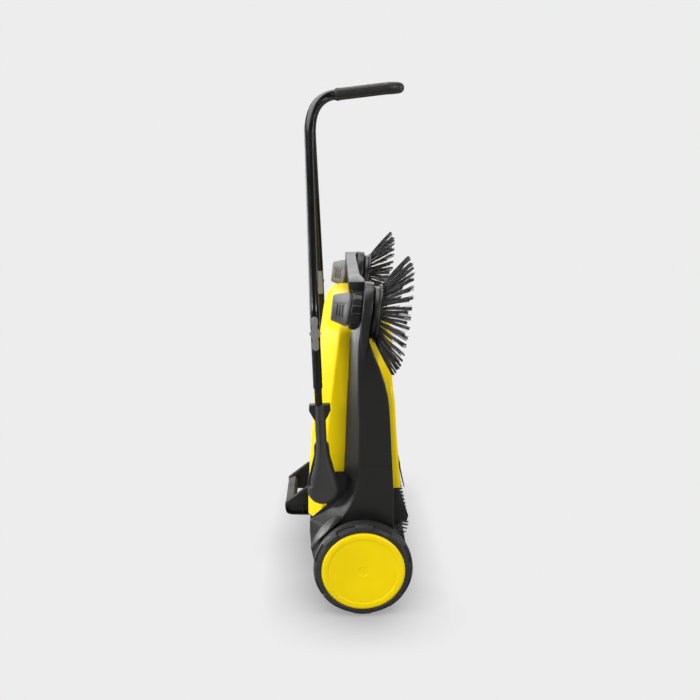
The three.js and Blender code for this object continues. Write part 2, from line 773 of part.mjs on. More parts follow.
function brushDisc() {
  const rim = BRUSH.discRadius;
  return turnedZ([
    [0, -50],
    [8, -50],
    [8, -4.3],
    [BRUSH_PULLEY, -4.3],
    [BRUSH_PULLEY, 26],
    [rim - 4, 27],
    [rim, 29],
    [rim, 36],
    [rim - 3, 36],
    [rim - 6, 32],
    [12, 32],
    [4.4, 32],
    [4.4, 16],
    [0, 16],
  ], 24);
}

const brushScrew = () => join(rodZ(4, 0, 0, 17, 34, 12), rodZ(9, 0, 0, 32.3, 38, 6));

function brushBristles() {
  const { discRadius: rim, tipRadius: tip } = BRUSH;
  const outside = [[rim + 2, 36.4], [tip, 74], [tip, 88], [tip - 14, 98]];
  const inside = [[tip - 24, 96], [tip - 12, 84], [rim - 6, 36.4]];
  return turnedZ([...outside, ...inside], 24);
}

// ---- assembly ----
const chassis = new THREE.Group();
const hopper = new THREE.Group();
const roller = new THREE.Group();
const handle = new THREE.Group();
roller.position.set(ROLLER.x, 0, ROLLER.z);
handle.position.set(HANDLE.x, 0, HANDLE.z);
handle.rotation.y = -HANDLE.lean;
root.add(chassis, hopper, roller, handle);

add(chassis, "roller_housing", rollerHousing(), BLACK);
add(chassis, "parking_foot", parkingFoot(), BLACK);
add(chassis, "carry_handle", carryHandle(), BLACK);
add(chassis, "front_bow", frontBow(), BLACK);
add(chassis, "dust_flap", dustFlap(), RUBBER);
add(hopper, "hopper_cover", hopperCover(), YELLOW);
add(hopper, "hopper_tub", hopperTub(), YELLOW);
add(hopper, "hopper_lip", hopperLip(), RUBBER);
add(roller, "roller_core", rollerCore(), BLACK);
add(roller, "roller_bristles", rollerBristles(), BRISTLE);
add(handle, "handle_loop", upperTube(), TUBE_PAINT);
add(handle, "handle_grip", grip(), RUBBER);

for (const [side, sign] of [["left", 1], ["right", -1]]) {
  const mirror = new THREE.Group();
  mirror.scale.y = sign;
  root.add(mirror);
  add(mirror, `side_frame_${side}`, sideFrame(), BLACK);
  add(mirror, `inner_plate_${side}`, innerPlate(), BLACK);
  add(mirror, `stub_axle_${side}`, rodY(AXLE.radius, AXLE.x, AXLE.z, 289, 388), STEEL);
  add(mirror, `pivot_bolt_${side}`, rodY(AXLE.radius, HANDLE.x, HANDLE.z, 292, 369), STEEL);
  add(mirror, `side_belt_${side}`, belt(), RUBBER);
  add(mirror, `belt_guide_${side}`, beltGuide(), GREY);
  add(mirror, `side_skirt_${side}`, sideSkirt(), RUBBER);

  const wheel = new THREE.Group();
  wheel.position.set(AXLE.x, 0, AXLE.z);
  mirror.add(wheel);
  add(wheel, `tyre_${side}`, tyre(), RUBBER);
  add(wheel, `wheel_hub_${side}`, wheelHub(), BLACK);
  add(wheel, `hub_cap_${side}`, hubCap(), YELLOW);
  add(wheel, `wheel_gear_${side}`, wheelGear(), BLACK);

  const rollerEnd = new THREE.Group();
  rollerEnd.position.copy(roller.position);
  mirror.add(rollerEnd);
  add(rollerEnd, `roller_pinion_${side}`, rollerPinion(), BLACK);
  add(rollerEnd, `roller_bearing_${side}`, rollerBearing(), STEEL);

  const tubes = new THREE.Group();
  tubes.position.copy(handle.position);
  tubes.rotation.copy(handle.rotation);
  mirror.add(tubes);
  add(tubes, `pivot_bracket_${side}`, pivotBracket(), BLACK);
  add(tubes, `lower_tube_${side}`, rodZ(HANDLE.lowerRadius, 0, HANDLE.y, 151, KINK_Z - 22), TUBE_PAINT);
  add(tubes, `clamp_saddle_${side}`, clampSaddle(), GREY);
  add(tubes, `wing_knob_${side}`, wingKnob(), GREY).position.z = CLAMP_Z;

  const brush = new THREE.Group();
  brush.position.set(BRUSH.x, BRUSH.y, BRUSH.z);
  brush.rotation.y = BRUSH.tilt;
  mirror.add(brush);
  add(brush, `height_knob_${side}`, heightKnob(), GREY);
  add(brush, `adjust_collar_${side}`, adjustCollar(), BLACK);
  add(brush, `brush_carrier_${side}`, brushCarrier(), GREY);
  add(brush, `brush_disc_${side}`, brushDisc(), BLACK);
  add(brush, `brush_screw_${side}`, brushScrew(), STEEL);
  add(brush, `brush_bristles_${side}`, brushBristles(), BRISTLE);
}

export default root;
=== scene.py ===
"""The looks of a walk-behind sweeper, parked upright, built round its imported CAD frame.

Lengths are in metres. +X faces the ground in use, +Y is the machine's left and +Z its front.
Pieces that come in pairs are shaped once for the left side and mirrored for the right.
"""

import json
import math

import bmesh
import bpy
import numpy as np
from mathutils import Matrix, Vector


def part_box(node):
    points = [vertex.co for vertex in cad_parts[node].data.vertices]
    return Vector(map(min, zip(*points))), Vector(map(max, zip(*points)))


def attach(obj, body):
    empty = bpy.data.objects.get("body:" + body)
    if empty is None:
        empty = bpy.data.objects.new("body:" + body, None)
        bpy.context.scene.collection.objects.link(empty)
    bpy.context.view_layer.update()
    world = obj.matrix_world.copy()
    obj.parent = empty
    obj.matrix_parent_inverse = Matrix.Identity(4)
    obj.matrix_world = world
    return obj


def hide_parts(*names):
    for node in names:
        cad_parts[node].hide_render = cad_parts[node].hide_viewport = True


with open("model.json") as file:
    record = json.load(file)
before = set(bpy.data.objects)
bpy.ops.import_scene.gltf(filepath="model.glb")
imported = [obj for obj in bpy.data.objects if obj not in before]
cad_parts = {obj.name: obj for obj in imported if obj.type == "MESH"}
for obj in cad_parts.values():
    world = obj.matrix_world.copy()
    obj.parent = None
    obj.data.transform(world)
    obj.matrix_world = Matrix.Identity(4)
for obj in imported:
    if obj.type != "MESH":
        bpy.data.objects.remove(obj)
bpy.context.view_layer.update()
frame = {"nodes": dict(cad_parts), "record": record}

MM = 0.001
SIDES = ("left", "right")
joints = {joint["name"]: joint for joint in frame["record"]["behaviour"]["joints"]}
rng = np.random.default_rng(7)


# ---------------------------------------------------------------- places taken from the frame
def place(joint_name):
    """A joint's pivot, on the left side."""
    x, y, z = joints[joint_name]["pos_m"]
    return np.array([x, abs(y), z])


WHEEL_AXIS = place("wheel_left_spin")
ROLLER_AXIS = place("roller_spin")
FOLD_AXIS = place("handle_fold")
BRUSH_PIVOT = place("side_brush_left_spin")
BRUSH_DIR = np.array(joints["side_brush_left_spin"]["axis"])
TUBE_DIR = np.array(joints["handle_extend"]["axis"])


def low(node):
    return np.array(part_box(node)[0])


def high(node):
    return np.array(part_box(node)[1])


def local_frame(origin, up):
    """Columns: local X, Y and Z in the row frame. Local Y stays the row's Y."""
    up = np.array(up) / np.linalg.norm(up)
    across = np.array([0.0, 1.0, 0.0])
    side = np.cross(across, up)
    matrix = np.eye(4)
    matrix[:3, 0], matrix[:3, 1], matrix[:3, 2], matrix[:3, 3] = side, across, up, origin
    return matrix


BRUSH_FRAME = local_frame(BRUSH_PIVOT, BRUSH_DIR)
HANDLE_FRAME = local_frame(FOLD_AXIS, TUBE_DIR)
WHEEL_FRAME = local_frame([WHEEL_AXIS[0], 0, WHEEL_AXIS[2]], [0, 0, 1])


def moved(verts, matrix):
    verts = np.asarray(verts, float)
    return verts @ matrix[:3, :3].T + matrix[:3, 3]


# ---------------------------------------------------------------- materials
class Nodes:
    """A material's node tree, with short calls to add and join nodes."""

    def __init__(self, name):
        self.material = bpy.data.materials.new(name)
        self.material.use_nodes = True
        self.tree = self.material.node_tree
        self.shader = self.tree.nodes["Principled BSDF"]
        self.coord = self.tree.nodes.new("ShaderNodeTexCoord")

    def feed(self, socket, value):
        """Links an output to a socket, or sets the socket to a plain value."""
        if isinstance(value, bpy.types.NodeSocket):
            self.tree.links.new(value, socket)
        else:
            socket.default_value = value

    def add(self, kind, settings=None, **inputs):
        node = self.tree.nodes.new("ShaderNode" + kind)
        for key, value in (settings or {}).items():
            setattr(node, key, value)
        for key, value in inputs.items():
            self.feed(node.inputs[key.replace("_", " ")], value)
        return node

    def set(self, **inputs):
        for key, value in inputs.items():
            self.feed(self.shader.inputs[key.replace("_", " ")], value)

    def noise(self, scale, detail=3.0, rough=0.55):
        node = self.add("TexNoise", Scale=scale, Detail=detail, Roughness=rough)
        self.tree.links.new(self.coord.outputs["Object"], node.inputs["Vector"])
        return node.outputs["Fac"]

    def ranged(self, value, low_out, high_out, low_in=0.3, high_in=0.7):
        node = self.add("MapRange")
        self.tree.links.new(value, node.inputs["Value"])
        for index, number in enumerate((low_in, high_in, low_out, high_out)):
            node.inputs[index + 1].default_value = number
        return node.outputs["Result"]

    def mixed(self, factor, first, second, blend="MIX"):
        node = self.add("Mix", {"data_type": "RGBA", "blend_type": blend})
        for index, value in ((0, factor), (6, first), (7, second)):
            self.feed(node.inputs[index], value)
        return node.outputs[2]

    def bump(self, height, strength, distance, normal=None):
        node = self.add("Bump", Strength=strength, Distance=distance)
        self.tree.links.new(height, node.inputs["Height"])
        if normal is not None:
            self.tree.links.new(normal, node.inputs["Normal"])
        return node.outputs["Normal"]


def rgba(color, factor=1.0):
    return tuple(min(1.0, c * factor) for c in color) + (1.0,)


def moulded(name, color, roughness, grain=0.25, wear=0.35, specular=0.5):
    """Injection-moulded plastic: fine grain, slow mottling, paler worn edges."""
    n = Nodes(name)
    mottled = n.mixed(n.ranged(n.noise(6.0), 0, 1), rgba(color, 0.93), rgba(color, 1.06))
    edge = n.ranged(n.add("NewGeometry").outputs["Pointiness"], 0, wear, 0.53, 0.62)
    scuffed = n.add("Math", {"operation": "MULTIPLY"})
    n.tree.links.new(edge, scuffed.inputs[0])
    n.tree.links.new(n.ranged(n.noise(60.0, 5.0), 0.3, 1.0), scuffed.inputs[1])
    pale = tuple(c + (0.55 - c) * 0.35 for c in color)
    n.set(
        Base_Color=n.mixed(scuffed.outputs[0], mottled, rgba(pale)),
        Roughness=n.ranged(n.noise(28.0, 5.0), roughness - 0.06, roughness + 0.08),
        Specular_IOR_Level=specular,
        Normal=n.bump(n.noise(1500.0, 2.0), grain, 0.00025, n.bump(n.noise(14.0, 2.0), 0.05, 0.004)),
    )
    return n.material


def powder_coat(name, color):
    """Satin powder coat on steel tube: fine orange peel and slow changes of gloss."""
    n = Nodes(name)
    n.set(
        Base_Color=n.mixed(n.ranged(n.noise(9.0), 0, 1), rgba(color, 0.8), rgba(color, 1.3)),
        Roughness=n.ranged(n.noise(14.0, 2.0), 0.2, 0.27),
        Specular_IOR_Level=0.4,
        Normal=n.bump(n.noise(1200.0, 1.0), 0.02, 0.0001),
    )
    return n.material


def rubber(name, color, roughness=0.75, dust=0.25, grain_scale=700.0):
    """Rubber with a dusty bloom."""
    n = Nodes(name)
    bloom = n.ranged(n.noise(11.0, 6.0, 0.65), 0.0, dust, 0.42, 0.75)
    n.set(
        Base_Color=n.mixed(bloom, rgba(color), (0.23, 0.22, 0.205, 1.0)),
        Roughness=n.ranged(n.noise(35.0, 4.0), roughness - 0.1, roughness + 0.1),
        Specular_IOR_Level=0.4,
        Normal=n.bump(n.noise(grain_scale, 3.0), 0.3, 0.0004),
    )
    return n.material


def foam(name, color):
    """Closed-cell foam sleeve: small pits."""
    n = Nodes(name)
    cells = n.add("TexVoronoi", Scale=620.0)
    n.tree.links.new(n.coord.outputs["Object"], cells.inputs["Vector"])
    n.set(
        Base_Color=n.mixed(n.ranged(n.noise(18.0), 0, 1), rgba(color, 0.8), rgba(color, 1.35)),
        Roughness=n.ranged(n.noise(90.0), 0.42, 0.6),
        Normal=n.bump(cells.outputs["Distance"], 0.35, 0.0005, n.bump(n.noise(70.0), 0.15, 0.001)),
    )
    return n.material


def bristle(name, color):
    """Nylon strands: each strand has its own tone, stored on its points."""
    n = Nodes(name)
    tone = n.add("Attribute", {"attribute_name": "tone"})
    n.set(
        Base_Color=n.mixed(tone.outputs["Fac"], rgba(color, 0.7), rgba(color, 4.2)),
        Roughness=n.ranged(n.noise(300.0), 0.34, 0.5),
        Specular_IOR_Level=0.6,
    )
    return n.material


def plated(name, color):
    """Zinc-plated steel with fine turning marks."""
    n = Nodes(name)
    n.set(
        Base_Color=n.mixed(n.ranged(n.noise(40.0), 0, 1), rgba(color, 0.8), rgba(color, 1.1)),
        Metallic=1.0,
        Roughness=n.ranged(n.noise(220.0, 5.0), 0.25, 0.45),
        Normal=n.bump(n.noise(900.0), 0.15, 0.0002),
    )
    return n.material


YELLOW = moulded("yellow_plastic", (0.9, 0.67, 0.0), 0.36, grain=0.08, wear=0.1, specular=0.18)
BLACK = moulded("black_plastic", (0.0065, 0.0065, 0.006), 0.38, grain=0.25, wear=0.15)
GREY = moulded("grey_plastic", (0.17, 0.17, 0.172), 0.42, grain=0.3, wear=0.2)
INNER_BLACK = moulded("inner_black_plastic", (0.012, 0.012, 0.012), 0.6, grain=0.2, wear=0.1)
TUBE = powder_coat("black_powder_coat", (0.003, 0.003, 0.003))
BRACKET = moulded("bracket_plastic", (0.03, 0.03, 0.029), 0.45, grain=0.35, wear=0.3)
PAD = rubber("pad_rubber", (0.05, 0.05, 0.05), 0.5, dust=0.15)
RUBBER = rubber("flap_rubber", (0.012, 0.012, 0.012), dust=0.06)
TYRE = rubber("tyre_rubber", (0.02, 0.02, 0.0205), 0.5, dust=0.1, grain_scale=500.0)
FOAM = foam("grip_foam", (0.007, 0.007, 0.007))
BRISTLE = bristle("nylon_bristle", (0.006, 0.006, 0.006))
STEEL = plated("zinc_plated_steel", (0.62, 0.63, 0.64))


# ---------------------------------------------------------------- mesh tools
def grid_faces(rows, columns, wrap_rows=False):
    """Four-sided faces between closed rings of points, row by row."""
    faces = []
    for r in range(rows if wrap_rows else rows - 1):
        for c in range(columns):
            r1, c1 = (r + 1) % rows, (c + 1) % columns
            faces.append((r * columns + c, r * columns + c1, r1 * columns + c1, r1 * columns + c))
    return faces


def lofted(rings):
    """Closed rings of equal length, joined in order, with both ends closed."""
    rings = np.asarray(rings, float)
    rows, columns = rings.shape[:2]
    faces = grid_faces(rows, columns)
    faces.append(tuple(range(columns))[::-1])
    faces.append(tuple((rows - 1) * columns + c for c in range(columns)))
    return rings.reshape(-1, 3), faces


def level_ring(outline, z):
    """A plan outline (X, Y) placed at a height."""
    outline = np.asarray(outline, float)
    return np.stack([outline[:, 0], outline[:, 1], np.full(len(outline), z)], axis=1)


def upright_ring(outline, y):
    """A side-view outline (X, Z) placed at a distance from the middle plane."""
    outline = np.asarray(outline, float)
    return np.stack([outline[:, 0], np.full(len(outline), y), outline[:, 1]], axis=1)


def slab(outline, y0, y1):
    """A side-view outline (X, Z) with depth in Y."""
    return lofted([upright_ring(outline, y0), upright_ring(outline, y1)])


def prism(outline, z0, z1):
    """A plan outline (X, Y) with height in Z."""
    return lofted([level_ring(outline, z0), level_ring(outline, z1)])


def corner_curve(start, corner, end, steps):
    """Points on the quadratic curve that rounds a corner."""
    places = np.linspace(0, 1, steps + 1)
    return [(1 - t) ** 2 * start + 2 * t * (1 - t) * corner + t * t * end for t in places]


def rounded(points, radii, steps=5):
    """A closed outline with its corners rounded, the same number of points at each corner."""
    points = np.asarray(points, float)
    radii = np.broadcast_to(radii, len(points))
    out = []
    for i, corner in enumerate(points):
        before = points[i - 1] - corner
        after = points[(i + 1) % len(points)] - corner
        len_a, len_b = np.linalg.norm(before), np.linalg.norm(after)
        cosine = np.clip(np.dot(before, after) / (len_a * len_b), -0.9999, 0.9999)
        reach = min(radii[i] / math.tan(math.acos(cosine) / 2), 0.45 * len_a, 0.45 * len_b)
        start, end = corner + before / len_a * reach, corner + after / len_b * reach
        out += corner_curve(start, corner, end, steps)
    return np.array(out)


def arc(centre, radius, start, end, steps=16):
    """Points on an arc, with angles in degrees from the first axis."""
    angles = np.radians(np.linspace(start, end, steps + 1))
    return np.stack([centre[0] + radius * np.cos(angles), centre[1] + radius * np.sin(angles)], axis=1)


def spline(points, steps):
    """A Catmull-Rom curve through the points."""
    points = np.asarray(points, float)
    padded = np.vstack([2 * points[0] - points[1], points, 2 * points[-1] - points[-2]])
    out = []
    for i in range(len(points) - 1):
        p0, p1, p2, p3 = padded[i:i + 4]
        for t in np.linspace(0, 1, steps, endpoint=False):
            out.append(0.5 * (2 * p1 + (p2 - p0) * t + (2 * p0 - 5 * p1 + 4 * p2 - p3) * t * t
                              + (3 * p1 - p0 - 3 * p2 + p3) * t ** 3))
    out.append(points[-1])
    return np.array(out)


def turned(profile, sides=96, shape=None):
    """A profile of (radius, z) points turned about Z. shape(angle, r, z) may change the radius."""
    profile = np.asarray(profile, float)
    rings = []
    for r, z in profile:
        angles = np.linspace(0, 2 * math.pi, sides, endpoint=False)
        radius = np.full(sides, r) if shape is None else np.array([shape(a, r, z) for a in angles])
        rings.append(level_ring(np.stack([radius * np.cos(angles), radius * np.sin(angles)], axis=1), z))
    closed = np.allclose(profile[0], profile[-1])
    if closed:
        rings = rings[:-1]
    verts = np.concatenate(rings)
    return verts, grid_faces(len(rings), sides, wrap_rows=closed)


def soft_profile(points, radius, steps=3):
    """An open profile with its inner corners rounded."""
    points = np.asarray(points, float)
    out = [points[0]]
    for a, corner, b in zip(points[:-2], points[1:-1], points[2:]):
        len_a, len_b = np.linalg.norm(a - corner), np.linalg.norm(b - corner)
        reach = min(radius, 0.45 * len_a, 0.45 * len_b)
        start, end = corner + (a - corner) / len_a * reach, corner + (b - corner) / len_b * reach
        out += corner_curve(start, corner, end, steps)
    out.append(points[-1])
    return np.array(out)


def refined(profile, longest, count):
    """A profile with each stretch over the longest length cut into equal steps."""
    stretches = []
    for a, b in zip(profile[:-1], profile[1:]):
        is_long = np.linalg.norm(a - b) > longest
        stretches.append(np.linspace(a, b, count, endpoint=False) if is_long else [a])
    return np.vstack(stretches + [profile[-1:]])


def swept(path, radius, sides):
    """A round bar along a path, with closed ends."""
    path = np.asarray(path, float)
    radius = np.broadcast_to(radius, len(path))
    tangents = np.gradient(path, axis=0)
    tangents /= np.linalg.norm(tangents, axis=1)[:, None]
    normal = np.cross(tangents[0], [0.3, 0.1, 0.9])
    angles = np.linspace(0, 2 * math.pi, sides, endpoint=False)
    cosines, sines = np.cos(angles)[:, None], np.sin(angles)[:, None]
    rings = []
    for point, tangent, size in zip(path, tangents, radius):
        normal = normal - tangent * np.dot(normal, tangent)
        normal /= np.linalg.norm(normal)
        other = np.cross(tangent, normal)
        rings.append(point + size * (cosines * normal + sines * other))
    return lofted(rings)


def merged(*parts):
    verts, faces, offset = [], [], 0
    for part_verts, part_faces in parts:
        verts.append(np.asarray(part_verts, float))
        faces += [tuple(i + offset for i in face) for face in part_faces]
        offset += len(part_verts)
    return np.concatenate(verts), faces


def transformed(part, matrix):
    return moved(part[0], matrix), part[1]


def mirrored(part):
    verts = np.array(part[0], float)
    verts[:, 1] *= -1
    return verts, [tuple(reversed(face)) for face in part[1]]


def rotation(axis, degrees):
    return np.array(Matrix.Rotation(math.radians(degrees), 4, axis))


def shift(x=0.0, y=0.0, z=0.0):
    matrix = np.eye(4)
    matrix[:3, 3] = (x, y, z)
    return matrix


def finish_mesh(mesh, bevel, segments, sharp):
    """Welds, rounds the sharp edges, and sets smooth shading with crisp creases."""
    bm = bmesh.new()
    bm.from_mesh(mesh)
    bmesh.ops.remove_doubles(bm, verts=bm.verts, dist=2e-6)
    bmesh.ops.dissolve_degenerate(bm, edges=bm.edges, dist=1e-7)
    bmesh.ops.recalc_face_normals(bm, faces=bm.faces)
    if bevel:
        edges = [e for e in bm.edges if e.is_manifold and e.calc_face_angle(0) > math.radians(sharp)]
        bmesh.ops.bevel(bm, geom=edges, offset=bevel, segments=segments, profile=0.5,
                        affect="EDGES", clamp_overlap=True)
    bm.to_mesh(mesh)
    bm.free()
    mesh.shade_smooth()
    mesh.set_sharp_from_angle(angle=math.radians(38))


def mounted(name, mesh, body, replaces):
    """Puts a finished mesh in the scene, riding on its body."""
    obj = bpy.data.objects.new(name, mesh)
    bpy.context.scene.collection.objects.link(obj)
    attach(obj, body)
    if replaces:
        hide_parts(*replaces)


def piece(name, part, material, body, slot, replaces=(), bevel=0.0, segments=3, sharp=28.0):
    """One piece from its points and faces, with its edges rounded."""
    mesh = bpy.data.meshes.new(name)
    mesh.from_pydata([tuple(v) for v in part[0]], [], [tuple(f) for f in part[1]])
    mesh.materials.append(material)
    finish_mesh(mesh, bevel, segments, sharp)
    mounted(name, mesh, body, replaces)


def pair(name, part, material, body, slot, replaces=(), **settings):
    """The same piece for both sides. {} in the name of a body or a node stands for the side."""
    for side in SIDES:
        shaped = part if side == "left" else mirrored(part)
        nodes = [node.format(side) for node in replaces]
        piece(f"{name}_{side}", shaped, material, body.format(side), slot, nodes, **settings)


def cad_part(node):
    """A CAD node's mesh with its flat areas joined up again."""
    bm = bmesh.new()
    bm.from_mesh(frame["nodes"][node].data)
    bm.transform(frame["nodes"][node].matrix_world)
    bmesh.ops.remove_doubles(bm, verts=bm.verts, dist=2e-5)
    bmesh.ops.dissolve_limit(bm, angle_limit=math.radians(1.5), verts=bm.verts, edges=bm.edges)
    part = np.array([v.co[:] for v in bm.verts]), [tuple(v.index for v in f.verts) for f in bm.faces]
    bm.free()
    return part


def softened(name, node, material, body, slot, bevel, segments=3):
    """A CAD node's own shape with its moulded edges rounded."""
    piece(name, cad_part(node), material, body, slot, [node], bevel, segments, sharp=24.0)


# ---------------------------------------------------------------- sections of CAD shells
def section(node, z):
    """Where a node's surface crosses the level z, as rows of (x, |y|)."""
    mesh = frame["nodes"][node].data
    mesh.calc_loop_triangles()
    verts = np.array([v.co[:] for v in mesh.vertices])
    tris = np.array([t.vertices[:] for t in mesh.loop_triangles])
    points = []
    for a, b in ((0, 1), (1, 2), (2, 0)):
        pa, pb = verts[tris[:, a]], verts[tris[:, b]]
        cross = (pa[:, 2] - z) * (pb[:, 2] - z) < 0
        t = (z - pa[cross, 2]) / (pb[cross, 2] - pa[cross, 2])
        hit = pa[cross] + (pb[cross] - pa[cross]) * t[:, None]
        points.append(np.stack([hit[:, 0], np.abs(hit[:, 1])], axis=1))
    return np.concatenate(points)


def blurred(values, width):
    """A running average with a Gaussian weight, ends held."""
    reach = int(3 * width)
    weight = np.exp(-0.5 * (np.arange(-reach, reach + 1) / width) ** 2)
    padded = np.concatenate([np.full(reach, values[0]), values, np.full(reach, values[-1])])
    return np.convolve(padded, weight / weight.sum(), mode="valid")


# ---------------------------------------------------------------- hopper
def hopper_cover():
    """Crowned yellow cover: a flat top, a long bevel to the crease and straight side walls."""
    levels = np.linspace(low("hopper_cover")[2] + MM, high("hopper_cover")[2] - 0.5 * MM, 96)
    rows = []
    for z in levels:
        cut = section("hopper_cover", z)
        crown, wide = cut[:, 0].min(), cut[:, 1].max()
        crease = cut[cut[:, 1] > wide - 0.8 * MM, 0].min()
        narrow = cut[cut[:, 0] < crown + 0.8 * MM, 1].max()
        rows.append((crown, crease, wide, narrow))
    crown, crease, wide, narrow = (blurred(column, 1.6) for column in np.array(rows).T)
    rim = high("hopper_cover")[0]
    rings = []
    for i, z in enumerate(levels):
        outline = [(rim, -wide[i]), (rim, wide[i]), (crease[i], wide[i]), (crown[i], narrow[i]),
                   (crown[i], -narrow[i]), (crease[i], -wide[i])]
        ring = rounded(outline, [0.3 * MM, 0.3 * MM, 9 * MM, 16 * MM, 16 * MM, 9 * MM], 6)
        rings.append(level_ring(ring, z))
    return rings


def roller_bay_cut(rings, radius):
    """Keeps the hopper's rear clear of the roller by pushing points out of its bay."""
    for ring in rings:
        for point in ring:
            dx, dz = point[0] - ROLLER_AXIS[0], point[2] - ROLLER_AXIS[2]
            if math.hypot(dx, dz) < radius:
                point[0] = ROLLER_AXIS[0] - math.sqrt(max(radius ** 2 - dz ** 2, 0.0))
    return rings


def hopper_tub():
    """Yellow tub below the cover, lofted from the sections of its CAD node."""
    levels = np.linspace(low("hopper_tub")[2] + 12 * MM, high("hopper_tub")[2] - 0.5 * MM, 80)
    rim = low("hopper_tub")[0]
    rows = []
    for z in levels:
        cut = section("hopper_tub", z)
        ground = cut[:, 0].max()
        at_rim = cut[:, 0] < rim + 1.2 * MM
        wide = cut[at_rim, 1].max() if at_rim.any() else cut[:, 1].max()
        narrow = cut[cut[:, 0] > ground - 0.8 * MM, 1].max()
        rows.append((ground, wide, narrow))
    ground, wide, narrow = (blurred(column, 1.6) for column in np.array(rows).T)
    rings = []
    for i, z in enumerate(levels):
        outline = [(rim, -wide[i]), (ground[i], -narrow[i]), (ground[i], narrow[i]), (rim, wide[i])]
        ring = rounded(outline, [0.3 * MM, 12 * MM, 12 * MM, 0.3 * MM], 6)
        rings.append(level_ring(ring, z))
    return rings


def make_hopper():
    cover = lofted(roller_bay_cut(hopper_cover(), 89 * MM))
    piece("hopper_cover_shell", cover, YELLOW, "hopper", "yellow_shell", ["hopper_cover"],
          bevel=2.5 * MM, sharp=40)
    tub = lofted(hopper_tub())
    piece("hopper_tub_shell", tub, YELLOW, "hopper", "yellow_shell", ["hopper_tub"], bevel=2 * MM, sharp=40)
    softened("hopper_edge_lip", "hopper_lip", RUBBER, "hopper", "soft_rubber", 0.6 * MM, 2)


# ---------------------------------------------------------------- side frames
FRAME_INNER, FRAME_OUTER = 291 * MM, 345 * MM
SEAM = 380 * MM
# Level above the floor, ground-side edge, upper crest and inner edge of the sloping upper face, written in
# mm. At 336 to 338 the inner edge steps in.
FRAME_STATIONS = np.array([
    (50, 62, -72, -92),
    (80, 78, -98, -121),
    (125, 82, -108, -130),
    (183, 81, -104, -134),
    (214, 79, -84, -133),
    (240, 78, -54, -92),
    (276, 77.5, -31, -52),
    (305, 76.5, -18.5, -40),
    (336, 75, -12.5, -38),
    (338, 75, -12, -46.7),
    (400, 71, -9.1, -43.5),
    (480, 66.5, -8.6, -40.5),
    (551, 62, -11.5, -38),
    (596, 50, -12.4, -34.5),
    (642, 31.6, -12.6, -33),
    (690, 12, -11.5, -31),
    (742, 14, -4, -22),
]) * MM


def side_shell():
    """The long hollow panel: flat outside, a crest, and a slope down to the hopper."""
    z0, z1 = FRAME_STATIONS[0, 0], FRAME_STATIONS[-1, 0]
    round_seam = SEAM + np.array([-1.2, -0.5, 0, 0.5, 1.2]) * MM
    levels = np.unique(np.concatenate([np.linspace(z0, z1, 190), [336 * MM, 337 * MM], round_seam]))
    even = np.linspace(z0, z1, 400)
    smooth = lambda column, width: np.interp(
        levels, even, blurred(np.interp(even, FRAME_STATIONS[:, 0], FRAME_STATIONS[:, column]), width))
    ground, crest = smooth(1, 9), smooth(2, 9)
    inner = np.interp(levels, FRAME_STATIONS[:, 0], FRAME_STATIONS[:, 3])
    rings = []
    for z, g, c, i in zip(levels, ground, crest, inner):
        groove = 0.7 * MM if abs(z - SEAM) < 0.6 * MM else 0.0
        outer = FRAME_OUTER - groove
        i = min(i, c - 8 * MM)
        outline = [(i, FRAME_INNER), (g - groove, FRAME_INNER), (g - groove, outer), (c + groove, outer),
                   (i + groove, FRAME_INNER + 5 * MM)]
        ring = rounded(outline, [0.5 * MM, 2 * MM, 4 * MM, 7 * MM, 3 * MM], 6)
        rings.append(level_ring(ring, z))
    return lofted(rings)


def brush_arm():
    """The round arm that carries a side brush, with its fairing down to the panel."""
    outline = np.vstack([
        arc((0, 0), 72 * MM, 81, 300, 44),
        spline(np.array([(46, -50), (72, -26), (118, 3)]) * MM, 6),
        np.array([(118, 53)]) * MM,
    ])
    back, front = -10 * MM, 13 * MM
    verts, faces = prism(outline, back, front)
    for vert in verts:
        if vert[2] < 0:
            run = np.clip((vert[0] - 30 * MM) / (88 * MM), 0, 1)
            vert[2] += 14 * MM * run
    return transformed((verts, faces), BRUSH_FRAME)


def pivot_recess():
    """The black floor behind the pivot bracket, and the boss the bracket turns on."""
    x, z = FOLD_AXIS[0] / MM, FOLD_AXIS[2] / MM
    outline = np.vstack([
        spline([(x - 5, z + 17), (x - 5, z - 28), (x, z - 53), (x + 11, z - 76)], 8),
        [(x + 2, z - 96), (x - 5, z - 116), (x + 39, z - 116), (x + 79, z - 28), (x + 79, z + 17)],
    ]) * MM
    floor = slab(outline, FRAME_INNER, FRAME_INNER + 5 * MM)
    boss_profile = soft_profile(np.array([(0, 291), (17.5, 291), (16, 347), (0, 347)]) * MM, 2 * MM)
    to_pivot = shift(FOLD_AXIS[0], 0, FOLD_AXIS[2]) @ rotation("X", -90)
    return floor, transformed(turned(boss_profile, 48), to_pivot)


def wheel_arch():
    """The flared lip that wraps the tyre at the machine's top rear."""
    first, last = 112, 166
    lip = 126.5
    rows = []
    for angle in np.linspace(first, last, 60):
        ease = np.clip((angle - first) / 30, 0, 1)
        flare = ease * ease * (3 - 2 * ease) * np.clip((last + 2 - angle) / 40, 0, 1)
        section_points = np.array([
            (lip + 9, 330), (lip + 7.5, 343), (lip + 5.5, 346 + 12 * flare),
            (lip + 4.2, 346 + 21 * flare), (lip + 3, 346.5 + 26.5 * flare),
            (lip + 1.4, 346.5 + 27 * flare), (lip, 345 + 25 * flare), (lip, 330),
        ])
        line = spline(section_points, 3)
        a = math.radians(angle)
        x = WHEEL_AXIS[0] / MM + line[:, 0] * math.cos(a)
        z = WHEEL_AXIS[2] / MM + line[:, 0] * math.sin(a)
        rows.append(np.column_stack([x, line[:, 1], z]) * MM)
    return lofted(rows)


